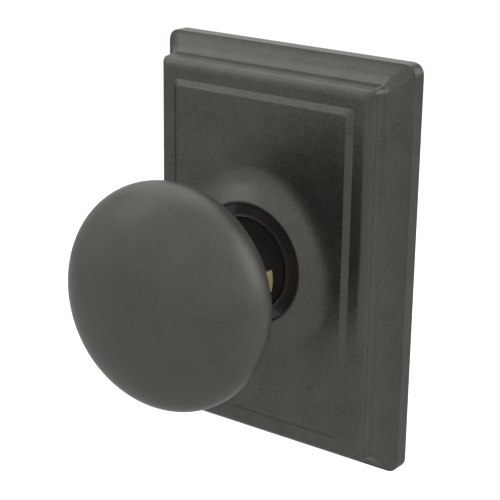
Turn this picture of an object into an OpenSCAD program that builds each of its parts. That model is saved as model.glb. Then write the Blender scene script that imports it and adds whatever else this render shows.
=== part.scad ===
// Outer half of a spring-centred door knob set: a round knob on a rectangular stepped rosette.
// The knob axis runs along Y. The door face is the plane y = 0 and the knob stands out along -Y.
// The rosette's long side runs along Z, and the knob axis meets the door face at the origin.
// Each sub-part is drawn looking straight at the door: x to the right, y up and z out of the door.
// The module from_door() then turns it into place.

/* [Rosette] */
// Width of the rosette
rosette_w = 76.2; // [74:0.1:80]
// Height of the rosette
rosette_h = 108; // [104:0.5:120]
// Thickness of the flange against the door
flange_t = 4.2; // [3.8:0.1:4.8]
// Corner radius of the flange
flange_corner_r = 3; // [1:0.5:5]
// Height of the band round the raised field
band_level = 14.75; // [14:0.05:15.2]
// Height of the raised field
field_level = 15.8; // [15.3:0.1:16.5]
// Height of the rim round the knob opening
boss_level = 20.1; // [19.5:0.1:20.6]
// Radius of the knob opening in the rosette
opening_r = 16.25; // [15.5:0.05:17]
// Thickness of the wall behind the raised field
field_wall = 2.2; // [1.8:0.1:2.6]

/* [Knob] */
// Largest diameter of the knob
knob_d = 57.15; // [50:0.05:60]
// Thickness of the knob along its axis
knob_thickness = 33.6; // [30:0.2:38]
// Distance from the door face to the knob's widest circle
knob_reach = 51.5; // [50:0.5:58]
// Wall thickness of the knob's two shells
shell_wall = 1.3; // [1:0.1:1.8]
// Outer radius of the neck
neck_r = 12.2; // [12:0.1:12.6]
// How far the knob turns to each side, in degrees
turn_limit = 50; // [30:1:54]

/* [Catch] */
// Distance from the door face to the middle of the catch
catch_level = 29; // [28:0.1:29.5]
// Width of the catch along the neck
catch_w = 5.6; // [4:0.1:6]
// Height of the catch round the neck
catch_h = 5.8; // [4:0.1:6]
// How far the catch is pressed to free the knob
catch_travel = 2; // [1.6:0.1:2.2]

/* [Spindle and posts] */
// Width of the square spindle across its flats
spindle_w = 8; // [7.5:0.1:8]
// How far the spindle reaches into the door
spindle_reach = 58; // [45:1:60]
// Distance between the two threaded posts
post_spacing = 35; // [34:0.5:38]
// Outer radius of a post
post_r = 4; // [3.5:0.1:4.5]
// Radius of a post's threaded hole
post_thread_r = 2.1; // [1.8:0.1:2.3]
// How far a post reaches into the door
post_reach = 22; // [16:1:26]

/* [Return spring] */
// Wire diameter of the return spring
spring_wire = 1.3; // [1:0.1:1.4]
// Radius of the return spring's coil to the middle of the wire
spring_coil_r = 11.5; // [11.3:0.1:11.7]

/* [Hidden] */
$fn = 96;
eps = 0.01;

// Colours
bronze = [0.16, 0.15, 0.14];
black = [0.05, 0.05, 0.05];
brass = [0.80, 0.62, 0.28];
steel = [0.62, 0.63, 0.65];
zinc = [0.70, 0.70, 0.69];
nylon = [0.86, 0.85, 0.80];

// Edge moulding of the rosette, as insets from its outline and levels above the door
cove_inset = 0.25;
cove_w = 4.45;
cove_h = 4.8;
cove_top = flange_t + cove_h;
riser_foot_inset = cove_inset + cove_w;
riser_inset = 5.3;
// The cove is an arc through its two edges, with its centre outside the rosette's outline
cove_turn = 46;
cove_chord = norm([cove_w, cove_h]);
cove_r = cove_chord / 2 / sin(cove_turn / 2);
cove_centre = [cove_inset + cove_w / 2, flange_t + cove_h / 2]
    + cove_r * cos(cove_turn / 2) / cove_chord * [-cove_h, cove_w];
groove_level = 12.4;
groove_w = 0.3;
groove_depth = 0.2;
shoulder_r = 2.5;
step_inset = 10.3;
field_inset = 11.9;
riser_corner_r = 3;
field_corner_r = 1.5;

// Swelling round the knob opening: a cone that a round fillet joins to the field
boss_slope = 37;
boss_foot_r = 25.5;
boss_fillet_end_r = 19.5;
boss_fillet_r = (boss_foot_r - boss_fillet_end_r) / sin(boss_slope);
boss_fillet_end = field_level + boss_fillet_r * (1 - cos(boss_slope));
boss_rim_r = boss_fillet_end_r - (boss_level - boss_fillet_end) / tan(boss_slope);

// Hollow in the back of the rosette
flange_wall = 3;
side_wall = 2.1;
hollow_top = field_level - field_wall;
screw_boss_x = 24;
screw_boss_y = 40;
screw_boss_r = 3.6;

// Levels of the mechanism behind the field
plate_back = 0.4;
plate_t = 1.8;
plate_front = plate_back + plate_t;
cage_floor_t = 1;
cage_wall_top = 9.4;
cover_t = 1;
cover_top = cage_wall_top + cover_t;
washer_t = 0.7;
washer_gap = 0.1;
sleeve_flange_back = cover_top + washer_t + washer_gap;
sleeve_flange_t = 1.1;
sleeve_flange_front = sleeve_flange_back + sleeve_flange_t;
bushing_back = sleeve_flange_front + 0.3;
neck_back = sleeve_flange_front;

// Plate, cage and their fasteners
plate_w = 58;
plate_h = 92;
cage_r = 21.5;
cage_wall = 1.5;
cage_post_ring_r = 24.2;
cage_post_r = 3;
cage_post_angles = [30, 150, 270];
cage_screw_r = 1.25;
tab_half_angle = 8;
tab_inner_r = 16.2;
stop_ring_r = 14.2;
stop_pin_r = 1.3;
stop_pin_top = 6.4;
stop_margin = 1.2;
stop_pin_angle = turn_limit + tab_half_angle + asin(stop_pin_r / stop_ring_r) + stop_margin;

// Turning parts
running_gap = 0.06;
sleeve_r = 11;
sleeve_bore_r = 9.4;
sleeve_front = 36;
sleeve_floor = 13.5;
journal_r = 8;
journal_back = -1.5;
hub_seat_r = 8.6;
hub_seat_back = 3.4;
plate_bushing_r = 10;
ring_groove_r = 7.1;
ring_front = 0.2;
ring_back = -0.7;
ring_r = 9.7;
hub_back = 3.5;
hub_t = 1.4;
hub_r = 12.3;
hub_ear_r = 15.4;
hub_ear_front = 9.1;
hub_flat = 8;
spindle_front = 16.5;
spindle_pin_level = 14.65;
spindle_pin_r = 1;
spindle_pin_l = 13;

// Neck and knob head
knob_a = knob_d / 2;
knob_b = knob_thickness / 2;
flare_end_r = 14.6;
shank_front = 39.9;
shank_plate_t = 1.2;
shank_plate_r = 18;
joint_ring_w = 0.9;
joint_ring_half_l = 2;

// Catch and its spring
catch_face_r = neck_r + 0.7;
catch_gap = 0.1;
catch_foot = 7.2;
catch_flange_t = 1.1;
catch_flange_extra = 0.8;
catch_wire = 0.6;
catch_coil_r = 2.2;
catch_seat_r = 3.2;
catch_seat_t = 1.1;

// Return spring: the two legs straddle the cage's tab and the hub's ear
leg_half_angle = 12;
leg_end_r = 18.6;
spring_turns = (720 - 2 * leg_half_angle) / 360;
spring_back = hub_back + hub_t + 0.25 + spring_wire / 2;
spring_pitch = spring_wire + 0.05;

// ---------------------------------------------------------------- helpers

// Turns a piece drawn looking at the door into the model's frame
module from_door() { rotate([90, 0, 0]) children(); }

// A solid of revolution about the knob axis, drawn as radius against level
module lathe(outline) { rotate_extrude() polygon(outline); }

module ring(r_out, r_in, back, front) {
    translate([0, 0, back])
        difference() {
            cylinder(r = r_out, h = front - back);
            translate([0, 0, -1]) cylinder(r = r_in, h = front - back + 2);
        }
}

module rounded_rect(w, h, r) {
    union() {
        square([w - 2 * r, h], center = true);
        square([w, h - 2 * r], center = true);
        for (x = [-1, 1], y = [-1, 1])
            translate([x * (w / 2 - r), y * (h / 2 - r)]) circle(r = r);
    }
}

// A rounded block between two levels
module block(w, h, r, back, front) {
    translate([0, 0, back]) linear_extrude(front - back) rounded_rect(w, h, r);
}

// A wedge of a turn, centred on an angle, as a cutter
module sector(angle, half_angle, r, back, front) {
    reach = r / cos(half_angle);
    translate([0, 0, back])
        linear_extrude(front - back)
            polygon([
                [0, 0],
                reach * [cos(angle - half_angle), sin(angle - half_angle)],
                reach * [cos(angle + half_angle), sin(angle + half_angle)]
            ]);
}

// Part of a ring, centred on an angle
module ring_tab(r_in, r_out, angle, half_angle, back, front) {
    intersection() {
        ring(r_out, r_in, back, front);
        sector(angle, half_angle, r_out + 1, back - 1, front + 1);
    }
}

// Radius of an ellipse of revolution at a distance from its widest circle
function ellipse_r(a, b, z) = a * sqrt(max(0, 1 - pow(z / b, 2)));

// Points along an ellipse, as [radius, level], between two angles from its widest circle
function ellipse_arc(a, b, level, from, to, n) = [
    for (i = [0:n])
        let (t = from + (to - from) * i / n)
            [a * cos(t), level + b * sin(t)]
];

// A round wire swept along a path: one ring of points per path point
function wire_ring(p, u, v, r, n) = [
    for (k = [0:n - 1]) p + r * (cos(360 * k / n) * u + sin(360 * k / n) * v)
];

module wire(path, r, n = 8) {
    last = len(path) - 1;
    tangent = [
        for (i = [0:last])
            let (d = path[min(i + 1, last)] - path[max(i - 1, 0)]) d / norm(d)
    ];
    // the frame's first side lies across the path and the axis of the coil
    side = [
        for (i = [0:last])
            let (s = cross(tangent[i], [0, 0, 1])) s / norm(s)
    ];
    points = [
        for (i = [0:last])
            each wire_ring(path[i], side[i], cross(tangent[i], side[i]), r, n)
    ];
    walls = [
        for (i = [0:last - 1], k = [0:n - 1])
            [i * n + k, (i + 1) * n + k, (i + 1) * n + (k + 1) % n, i * n + (k + 1) % n]
    ];
    back_cap = [for (k = [0:n - 1]) k];
    front_cap = [for (k = [0:n - 1]) last * n + n - 1 - k];
    polyhedron(points = points, faces = concat([back_cap], walls, [front_cap]), convexity = 10);
}

// ---------------------------------------------------------------- rosette

// Half section of the moulding above the flange, for a given half width
module moulding_section(half) {
    riser = half - riser_inset;
    riser_foot = half - riser_foot_inset;
    union() {
        difference() {
            translate([-(half - cove_inset), flange_t])
                square([2 * (half - cove_inset), cove_h]);
            for (side = [-1, 1])
                translate([side * (half - cove_centre.x), cove_centre.y]) circle(r = cove_r);
        }
        polygon([
            [-riser_foot, cove_top - eps],
            [riser_foot, cove_top - eps],
            [riser_foot, cove_top],
            [riser, groove_level],
            [-riser, groove_level],
            [-riser_foot, cove_top]
        ]);
        translate([-(riser - groove_depth), groove_level - eps])
            square([2 * (riser - groove_depth), groove_w + 2 * eps]);
        difference() {
            translate([-riser, groove_level + groove_w])
                square([2 * riser, band_level - groove_level - groove_w]);
            for (side = [-1, 1])
                difference() {
                    translate([side * riser - shoulder_r, band_level - shoulder_r])
                        square(2 * shoulder_r);
                    translate([side * (riser - shoulder_r), band_level - shoulder_r])
                        circle(r = shoulder_r);
                    translate([-(riser - shoulder_r), 0])
                        square([2 * (riser - shoulder_r), band_level]);
                }
        }
    }
}

// Section of the raised field with its sloping edge
module field_section(half) {
    polygon([
        [-(half - step_inset), band_level - eps],
        [half - step_inset, band_level - eps],
        [half - step_inset, band_level],
        [half - field_inset, field_level],
        [-(half - field_inset), field_level],
        [-(half - step_inset), band_level]
    ]);
}

// A mitred block: one section runs along x and the other along y
module mitred(w, h, is_field) {
    intersection() {
        rotate([90, 0, 0])
            linear_extrude(h + 2, center = true)
                if (is_field) field_section(w / 2);
                else moulding_section(w / 2);
        rotate([90, 0, 90])
            linear_extrude(w + 2, center = true)
                if (is_field) field_section(h / 2);
                else moulding_section(h / 2);
    }
}

module boss_section() {
    difference() {
        polygon([
            [opening_r - 1, hollow_top],
            [boss_foot_r, hollow_top],
            [boss_foot_r, field_level],
            [boss_fillet_end_r, boss_fillet_end],
            [boss_rim_r, boss_level],
            [opening_r - 1, boss_level]
        ]);
        translate([boss_foot_r, field_level + boss_fillet_r]) circle(r = boss_fillet_r);
    }
}

module rosette() {
    color(bronze) from_door() difference() {
        union() {
            block(rosette_w, rosette_h, flange_corner_r, 0, flange_t);
            intersection() {
                mitred(rosette_w, rosette_h, false);
                union() {
                    block(rosette_w, rosette_h, flange_corner_r, 0, cove_top);
                    block(rosette_w - 2 * riser_foot_inset, rosette_h - 2 * riser_foot_inset,
                        riser_corner_r, flange_t, band_level);
                }
            }
            intersection() {
                mitred(rosette_w, rosette_h, true);
                block(rosette_w - 2 * step_inset, rosette_h - 2 * step_inset,
                    field_corner_r, 0, field_level);
            }
            rotate_extrude() boss_section();
        }
        rosette_hollow();
        // knob opening
        translate([0, 0, -1]) cylinder(r = opening_r, h = boss_level + 2);
    }
}

// The hollow back, in three steps, less the four screw bosses that stand in it
module rosette_hollow() {
    lower = riser_inset + side_wall;
    upper = lower + 2;
    difference() {
        union() {
            block(rosette_w - 2 * flange_wall, rosette_h - 2 * flange_wall, 1.5, -1, flange_t - 0.2);
            block(rosette_w - 2 * lower, rosette_h - 2 * lower, 1.5, 3, 12);
            block(rosette_w - 2 * upper, rosette_h - 2 * upper, 1.5, 11, hollow_top);
        }
        for (x = [-1, 1], y = [-1, 1])
            translate([x * screw_boss_x, y * screw_boss_y, plate_front])
                difference() {
                    cylinder(r = screw_boss_r, h = hollow_top);
                    translate([0, 0, -1]) cylinder(r = cage_screw_r, h = 9);
                }
    }
}

// Glossy collar that lines the opening and guides the neck
module rosette_bushing() {
    bead_in = neck_r + running_gap;
    color(black) from_door() lathe([
        [bead_in, bushing_back],
        [18.5, bushing_back],
        [18.5, hollow_top],
        [opening_r, hollow_top],
        [opening_r, boss_level - 0.9],
        [opening_r - 0.15, boss_level - 0.75],
        [neck_r + 1.2, boss_level - 0.75],
        [neck_r + 1.05, boss_level - 0.4],
        [neck_r + 0.8, boss_level - 0.15],
        [neck_r + 0.5, boss_level - 0.05],
        [neck_r + 0.25, boss_level - 0.15],
        [bead_in, boss_level - 0.4]
    ]);
}

// ---------------------------------------------------------------- fixed mechanism

module mounting_plate() {
    color(steel) from_door() difference() {
        block(plate_w, plate_h, 4, plate_back, plate_front);
        translate([0, 0, -1]) cylinder(r = plate_bushing_r, h = 5);
        for (x = [-1, 1])
            translate([x * post_spacing / 2, 0, -1]) cylinder(r = 3, h = 5);
        for (a = cage_post_angles)
            rotate(a) translate([cage_post_ring_r, 0, -1]) cylinder(r = cage_screw_r, h = 5);
        for (x = [-1, 1], y = [-1, 1])
            translate([x * screw_boss_x, y * screw_boss_y, plate_back - eps])
                cylinder(r1 = 2.85, r2 = 1.3, h = plate_t + 2 * eps);
        // windows above and below the cage save weight
        for (y = [-1, 1])
            translate([0, y * 36, 0]) block(30, 9, 4.4, -1, 4);
    }
}

// Bronze bearing for the sleeve, pressed through the plate and the cage floor
module plate_bushing() {
    color(brass) from_door()
        ring(plate_bushing_r, journal_r + running_gap, plate_back, plate_front + cage_floor_t);
}

// Outline of the cage and its cover: a disc with three ears for screws
module cage_outline() {
    difference() {
        union() {
            circle(r = cage_r);
            for (a = cage_post_angles)
                rotate(a) translate([cage_post_ring_r, 0]) circle(r = cage_post_r);
        }
        for (a = cage_post_angles)
            rotate(a) translate([cage_post_ring_r, 0]) circle(r = cage_screw_r);
    }
}

module spring_cage() {
    edge = tan(tab_half_angle);
    color(zinc) from_door() difference() {
        translate([0, 0, plate_front])
            linear_extrude(cage_wall_top - plate_front) cage_outline();
        // inside, except the tab that holds the spring's idle leg
        translate([0, 0, plate_front + cage_floor_t])
            linear_extrude(cage_wall_top)
                difference() {
                    circle(r = cage_r - cage_wall);
                    difference() {
                        polygon([[-edge, 1] * 10, [edge, 1] * 10, [edge, 1] * 30, [-edge, 1] * 30]);
                        circle(r = tab_inner_r);
                    }
                }
        translate([0, 0, plate_front - 1]) cylinder(r = plate_bushing_r, h = cage_floor_t + 2);
        for (side = [-1, 1])
            rotate(270 + side * stop_pin_angle) translate([stop_ring_r, 0, plate_front - 1])
                cylinder(r = stop_pin_r, h = cage_floor_t + 2);
    }
}

module cage_cover() {
    color(steel) from_door() difference() {
        translate([0, 0, cage_wall_top]) linear_extrude(cover_t) cage_outline();
        translate([0, 0, cage_wall_top - 1]) cylinder(r = hub_seat_r + 0.6, h = cover_t + 2);
    }
}

// Three pan-head screws that clamp the cover and the cage to the plate
module cage_screws() {
    color(steel) from_door()
        for (a = cage_post_angles)
            rotate(a) translate([cage_post_ring_r, 0, 0]) difference() {
                union() {
                    translate([0, 0, plate_back])
                        cylinder(r = cage_screw_r, h = cover_top - plate_back + 0.5);
                    translate([0, 0, cover_top]) cylinder(r = 2.3, h = 1.3);
                }
                for (turn = [0, 90])
                    rotate(turn) translate([-1.5, -0.3, cover_top + 0.6]) cube([3, 0.6, 1]);
            }
}

module stop_pins() {
    color(steel) from_door()
        for (side = [-1, 1])
            rotate(270 + side * stop_pin_angle) translate([stop_ring_r, 0, plate_front])
                cylinder(r = stop_pin_r, h = stop_pin_top - plate_front);
}

module thrust_washer() {
    color(nylon) from_door()
        ring(14, hub_seat_r + 0.8, cover_top, cover_top + washer_t);
}

// A shouldered post, riveted into the plate, with a blind threaded hole from its free end
module post() {
    difference() {
        union() {
            translate([0, 0, plate_back]) cylinder(r = 3, h = plate_t);
            translate([0, 0, -1.2]) cylinder(r = 5, h = 1.2 + plate_back);
            translate([0, 0, -post_reach]) cylinder(r = post_r, h = post_reach - 1);
        }
        translate([0, 0, -post_reach - 1]) cylinder(r = post_thread_r, h = post_reach - 1);
        translate([0, 0, -post_reach - eps])
            cylinder(r1 = post_thread_r + 0.5, r2 = post_thread_r, h = 0.5);
    }
}

module post_left() {
    color(steel) from_door() translate([-post_spacing / 2, 0, 0]) post();
}

module post_right() {
    color(steel) from_door() translate([post_spacing / 2, 0, 0]) post();
}

// Four countersunk screws from the back of the plate into the rosette's bosses
module plate_screws() {
    color(steel) from_door()
        for (x = [-1, 1], y = [-1, 1])
            translate([x * screw_boss_x, y * screw_boss_y, plate_back]) difference() {
                union() {
                    cylinder(r1 = 2.8, r2 = 1.25, h = plate_t);
                    cylinder(r = cage_screw_r, h = 8);
                }
                for (turn = [0, 90])
                    rotate(turn) translate([-1.6, -0.3, -0.5]) cube([3.2, 0.6, 1.2]);
            }
}

// Torsion spring: two turns of wire with a leg at each end that points outwards
module return_spring() {
    start = 90 + leg_half_angle;
    steps = 56;
    sweep = 360 * spring_turns;
    coil = [
        for (i = [0:steps])
            let (a = start + sweep * i / steps)
                [
                    spring_coil_r * cos(a),
                    spring_coil_r * sin(a),
                    spring_back + spring_pitch * spring_turns * i / steps
                ]
    ];
    finish = start + sweep;
    top = spring_back + spring_pitch * spring_turns;
    first_leg = [for (r = [leg_end_r, 15, 13]) [r * cos(start), r * sin(start), spring_back]];
    last_leg = [for (r = [13, 15, leg_end_r]) [r * cos(finish), r * sin(finish), top]];
    bend_in = [
        12.1 * [cos(start + 1), sin(start + 1), 0] + [0, 0, spring_back]
    ];
    bend_out = [
        12.1 * [cos(finish - 1), sin(finish - 1), 0] + [0, 0, top]
    ];
    path = concat(
        first_leg, bend_in,
        [for (i = [1:steps - 1]) coil[i]],
        bend_out, last_leg
    );
    color(steel) from_door() wire(path, spring_wire / 2);
}

// ---------------------------------------------------------------- turning parts

module knob_front() {
    color(bronze) from_door() lathe(concat(
        ellipse_arc(knob_a, knob_b, knob_reach, 0, 90, 40),
        ellipse_arc(knob_a - shell_wall, knob_b - shell_wall, knob_reach, 90, 0, 30)
    ));
}

// Rear shell, with a hole where the neck's flare ends
module knob_rear() {
    hole_angle = acos(flare_end_r / knob_a);
    inner_a = knob_a - shell_wall;
    color(bronze) from_door() lathe(concat(
        ellipse_arc(knob_a, knob_b, knob_reach, -hole_angle, 0, 26),
        ellipse_arc(inner_a, knob_b - shell_wall, knob_reach, 0, -acos(flare_end_r / inner_a), 22)
    ));
}

// Ring inside the head that the two shells are brazed to
module knob_joint_ring() {
    outer = ellipse_r(knob_a - shell_wall, knob_b - shell_wall, joint_ring_half_l) - 0.02;
    color(zinc) from_door()
        ring(outer, outer - joint_ring_w, knob_reach - joint_ring_half_l,
            knob_reach + joint_ring_half_l);
}

// Stiffening plate across the front end of the neck, inside the head
module shank_plate() {
    color(steel) from_door()
        ring(shank_plate_r, sleeve_r - 1.5, shank_front, shank_front + shank_plate_t);
}

module knob_shank() {
    edge = knob_reach - knob_b * sqrt(1 - pow(flare_end_r / knob_a, 2));
    slope = atan(knob_b / knob_a * (flare_end_r / knob_a) / sqrt(1 - pow(flare_end_r / knob_a, 2)));
    sweep = 90 - slope;
    // the flare's arc touches the neck and meets the rear shell's surface without a corner
    arc_r = (flare_end_r - neck_r) / (1 - cos(sweep));
    arc_level = edge - arc_r * sin(sweep);
    inner_edge = knob_reach - (knob_b - shell_wall)
        * sqrt(1 - pow(flare_end_r / (knob_a - shell_wall), 2));
    color(bronze) from_door() difference() {
        rotate_extrude()
            difference() {
                polygon([
                    [sleeve_r + 0.05, neck_back],
                    [neck_r - 0.4, neck_back],
                    [neck_r, neck_back + 0.4],
                    [neck_r, arc_level],
                    [flare_end_r, edge],
                    [flare_end_r, inner_edge],
                    [flare_end_r, shank_front],
                    [sleeve_r + 0.05, shank_front]
                ]);
                translate([neck_r + arc_r, arc_level]) circle(r = arc_r);
            }
        // window for the catch
        translate([0, -catch_h / 2 - catch_gap - 0.1, catch_level - catch_w / 2 - catch_gap - 0.1])
            cube([neck_r + 2, catch_h + 2 * catch_gap + 0.2, catch_w + 2 * catch_gap + 0.2]);
    }
}

// Brass tube that carries the catch, with a journal that turns in the plate's bearing
module spindle_sleeve() {
    color(brass) from_door() difference() {
        union() {
            cylinder(r = sleeve_r, h = sleeve_front);
            translate([0, 0, sleeve_flange_back]) cylinder(r = 14.1, h = sleeve_flange_t);
            translate([0, 0, journal_back]) cylinder(r = journal_r, h = 6);
        }
        translate([0, 0, sleeve_floor]) cylinder(r = sleeve_bore_r, h = sleeve_front);
        // behind the flange it is turned down for the hub, and again for the bearing
        ring(20, hub_seat_r, hub_seat_back, sleeve_flange_back);
        ring(20, journal_r, journal_back - 1, hub_seat_back + eps);
        ring(journal_r + 1, ring_groove_r, ring_back - 0.1, ring_front + 0.1);
        // two flats that drive the hub
        for (side = [-1, 1])
            translate([side * (hub_flat + 5), 0, (hub_seat_back + hub_back + hub_t) / 2])
                cube([10, 30, hub_back + hub_t - hub_seat_back + 0.02], center = true);
        // square hole for the spindle
        translate([-(spindle_w + 0.1) / 2, -(spindle_w + 0.1) / 2, journal_back - 1])
            cube([spindle_w + 0.1, spindle_w + 0.1, sleeve_floor + 4]);
        // window for the catch
        translate([0, -catch_h / 2 - catch_gap, catch_level - catch_w / 2 - catch_gap])
            cube([sleeve_r + 2, catch_h + 2 * catch_gap, catch_w + 2 * catch_gap]);
    }
}

// Square bar that turns the latch, with its corners taken off
module drive_spindle() {
    color(steel) from_door() difference() {
        intersection() {
            translate([-spindle_w / 2, -spindle_w / 2, -spindle_reach])
                cube([spindle_w, spindle_w, spindle_reach + spindle_front]);
            rotate(45)
                translate([-5.3, -5.3, -spindle_reach])
                    cube([10.6, 10.6, spindle_reach + spindle_front]);
            translate([0, 0, -spindle_reach - eps])
                cylinder(r1 = 4.6, r2 = 4.6 + spindle_reach + 30, h = spindle_reach + 30);
        }
        translate([0, 0, spindle_pin_level]) rotate([90, 0, 0])
            cylinder(r = spindle_pin_r, h = 20, center = true);
    }
}

// Cross pin that keeps the spindle from dropping into the door
module spindle_pin() {
    color(steel) from_door() translate([0, 0, spindle_pin_level]) rotate([90, 0, 0])
        cylinder(r = spindle_pin_r, h = spindle_pin_l, center = true);
}

// Open snap ring in the journal's groove, behind the plate
module retaining_ring() {
    color(steel) from_door() difference() {
        union() {
            ring(ring_r, ring_groove_r, ring_back, ring_front);
            for (side = [-1, 1])
                rotate(270 + side * 22) translate([ring_r - 0.6, 0, ring_back])
                    cylinder(r = 1.6, h = ring_front - ring_back);
        }
        sector(270, 12, 20, ring_back - 1, ring_front + 1);
        cylinder(r = ring_groove_r, h = 10, center = true);
        for (side = [-1, 1])
            rotate(270 + side * 22) translate([ring_r - 0.4, 0, ring_back - 1])
                cylinder(r = 0.7, h = 4);
    }
}

// Cam on the sleeve's seat: its tall ear winds the spring, its low ear meets the stop pins
module drive_hub() {
    color(zinc) from_door() difference() {
        union() {
            translate([0, 0, hub_back]) cylinder(r = hub_r, h = hub_t);
            ring_tab(hub_r - 1, hub_ear_r, 90, tab_half_angle, hub_back, hub_back + hub_t);
            ring_tab(hub_r + 0.7, hub_ear_r, 90, tab_half_angle, hub_back, hub_ear_front);
            ring_tab(hub_r - 1, hub_ear_r, 270, tab_half_angle, hub_back, hub_back + hub_t);
        }
        // bore with two flats, the same shape as the seat
        intersection() {
            translate([0, 0, hub_back - 1]) cylinder(r = hub_seat_r, h = hub_t + 2);
            translate([-hub_flat, -20, hub_back - 1]) cube([2 * hub_flat, 40, hub_t + 2]);
        }
    }
}

// ---------------------------------------------------------------- catch

// Block in the neck's window: its face follows the neck and its foot stays inside the sleeve
module knob_catch() {
    color(brass) from_door() union() {
        intersection() {
            translate([catch_foot, -catch_h / 2, catch_level - catch_w / 2])
                cube([10, catch_h, catch_w]);
            translate([0, 0, catch_level - 10]) cylinder(r = catch_face_r, h = 20);
        }
        translate([
            catch_foot,
            -catch_h / 2 - catch_flange_extra,
            catch_level - catch_w / 2 - catch_flange_extra
        ])
            cube([
                catch_flange_t,
                catch_h + 2 * catch_flange_extra,
                catch_w + 2 * catch_flange_extra
            ]);
    }
}

// Disc against the far wall of the sleeve that the catch's spring pushes on
module catch_spring_seat() {
    color(steel) from_door() translate([0, 0, catch_level]) intersection() {
        rotate([0, -90, 0])
            union() {
                translate([0, 0, 6]) cylinder(r = catch_seat_r, h = 4);
                translate([0, 0, 4.5]) cylinder(r = catch_coil_r - catch_wire / 2 - 0.1, h = 2);
            }
        cylinder(r = sleeve_bore_r, h = 20, center = true);
        translate([-sleeve_bore_r - 1, -5, -5]) cube([5, 10, 10]);
    }
}

// Small compression spring between the seat and the catch
module catch_spring() {
    steps = 7 * 14;
    from = 6;
    to = -catch_foot;
    path = [
        for (i = [0:steps])
            let (a = 360 * 7 * i / steps)
                [
                    catch_coil_r * cos(a),
                    catch_coil_r * sin(a),
                    from - catch_wire / 2 + (to - from + catch_wire) * i / steps
                ]
    ];
    color(steel) from_door() translate([0, 0, catch_level]) rotate([0, -90, 0])
        wire(path, catch_wire / 2, 6);
}

rosette();
rosette_bushing();
mounting_plate();
plate_bushing();
spring_cage();
cage_cover();
cage_screws();
stop_pins();
thrust_washer();
post_left();
post_right();
plate_screws();
return_spring();
knob_front();
knob_rear();
knob_joint_ring();
shank_plate();
knob_shank();
spindle_sleeve();
drive_spindle();
spindle_pin();
retaining_ring();
drive_hub();
catch_spring_seat();
catch_spring();
knob_catch();
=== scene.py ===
"""Looks for the outer half of a spring-centred door knob set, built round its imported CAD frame."""

import math

import bmesh
import bpy
from mathutils import Matrix, Vector


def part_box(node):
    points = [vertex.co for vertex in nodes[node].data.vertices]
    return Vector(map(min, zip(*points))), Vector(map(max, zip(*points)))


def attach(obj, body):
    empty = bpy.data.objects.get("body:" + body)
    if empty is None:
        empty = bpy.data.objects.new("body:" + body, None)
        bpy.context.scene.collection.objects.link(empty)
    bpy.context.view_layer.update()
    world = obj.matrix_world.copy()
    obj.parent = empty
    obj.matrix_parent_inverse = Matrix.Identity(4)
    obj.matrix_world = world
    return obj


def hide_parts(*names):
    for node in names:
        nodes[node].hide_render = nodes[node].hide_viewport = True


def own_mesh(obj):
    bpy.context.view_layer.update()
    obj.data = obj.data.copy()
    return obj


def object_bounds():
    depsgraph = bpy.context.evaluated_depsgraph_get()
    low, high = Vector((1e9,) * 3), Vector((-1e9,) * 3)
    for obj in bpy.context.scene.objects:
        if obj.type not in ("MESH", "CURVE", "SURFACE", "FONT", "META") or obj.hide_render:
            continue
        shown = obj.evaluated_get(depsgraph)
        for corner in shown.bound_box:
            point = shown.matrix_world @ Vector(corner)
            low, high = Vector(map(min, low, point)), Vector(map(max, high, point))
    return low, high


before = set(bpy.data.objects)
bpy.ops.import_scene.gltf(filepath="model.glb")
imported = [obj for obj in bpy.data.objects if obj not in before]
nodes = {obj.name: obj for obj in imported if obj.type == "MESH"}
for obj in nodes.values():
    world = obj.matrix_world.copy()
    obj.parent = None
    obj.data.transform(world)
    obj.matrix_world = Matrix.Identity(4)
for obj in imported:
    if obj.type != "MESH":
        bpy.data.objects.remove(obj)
cad_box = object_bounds()
scene = bpy.context.scene

MM = 0.001
SHARP_ANGLE = 35           # edges that turn by more degrees than this stay sharp
MERGE_REACH = 1e-7         # points this close are one point, in metres
CUT_MERGE_REACH = 2e-6     # the same after a cut, which leaves very short edges
SHORTEST_EDGE = 1e-6


# ------------------------------------------------------------------ places and outlines

def at(x, z, level):
    """A point given across, up and out of the door in mm, as a place in the frame in metres."""
    return Vector((x, -level, z)) * MM


def cad_size(node):
    """Half width, half height and outermost level of a CAD node, in mm."""
    lo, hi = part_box(node)
    return hi.x / MM, hi.z / MM, -lo.y / MM


def polar(radius, angle, centre=(0, 0)):
    """A point at a distance and an angle in radians from a centre."""
    return centre[0] + radius * math.cos(angle), centre[1] + radius * math.sin(angle)


def arc(centre, radius, start, end, steps):
    """Points on an arc, from one angle to another in degrees."""
    return [polar(radius, math.radians(start + (end - start) * i / steps), centre) for i in range(steps + 1)]


def rounded_rect(half_w, half_h, r, steps=8, centre=(0, 0)):
    """A rounded rectangle as a ring of points, in mm."""
    ring = []
    for sx, sz, start in ((1, 1, 0), (-1, 1, 90), (-1, -1, 180), (1, -1, 270)):
        corner = (centre[0] + sx * (half_w - r), centre[1] + sz * (half_h - r))
        ring += arc(corner, r, start, start + 90, steps)
    return ring


def rounded_path(path, steps=4):
    """Rounds the corners of a path of (x, y, corner radius) points; its first and last points stay."""
    made = [path[0][:2]]
    for before, here, after in zip(path, path[1:], path[2:]):
        r = here[2]
        p = Vector(here[:2])
        if r <= 0:
            made.append(tuple(p))
            continue
        u = (Vector(before[:2]) - p).normalized()
        v = (Vector(after[:2]) - p).normalized()
        half = u.angle(v) / 2
        trim = r / math.tan(half)
        centre = p + (u + v).normalized() * (r / math.sin(half))
        a, b = p + u * trim - centre, p + v * trim - centre
        turn = a.angle_signed(b)
        for i in range(steps + 1):
            t = -turn * i / steps
            c, s = math.cos(t), math.sin(t)
            made.append((centre.x + a.x * c - a.y * s, centre.y + a.x * s + a.y * c))
    made.append(path[-1][:2])
    return made


# ------------------------------------------------------------------ meshes

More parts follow.
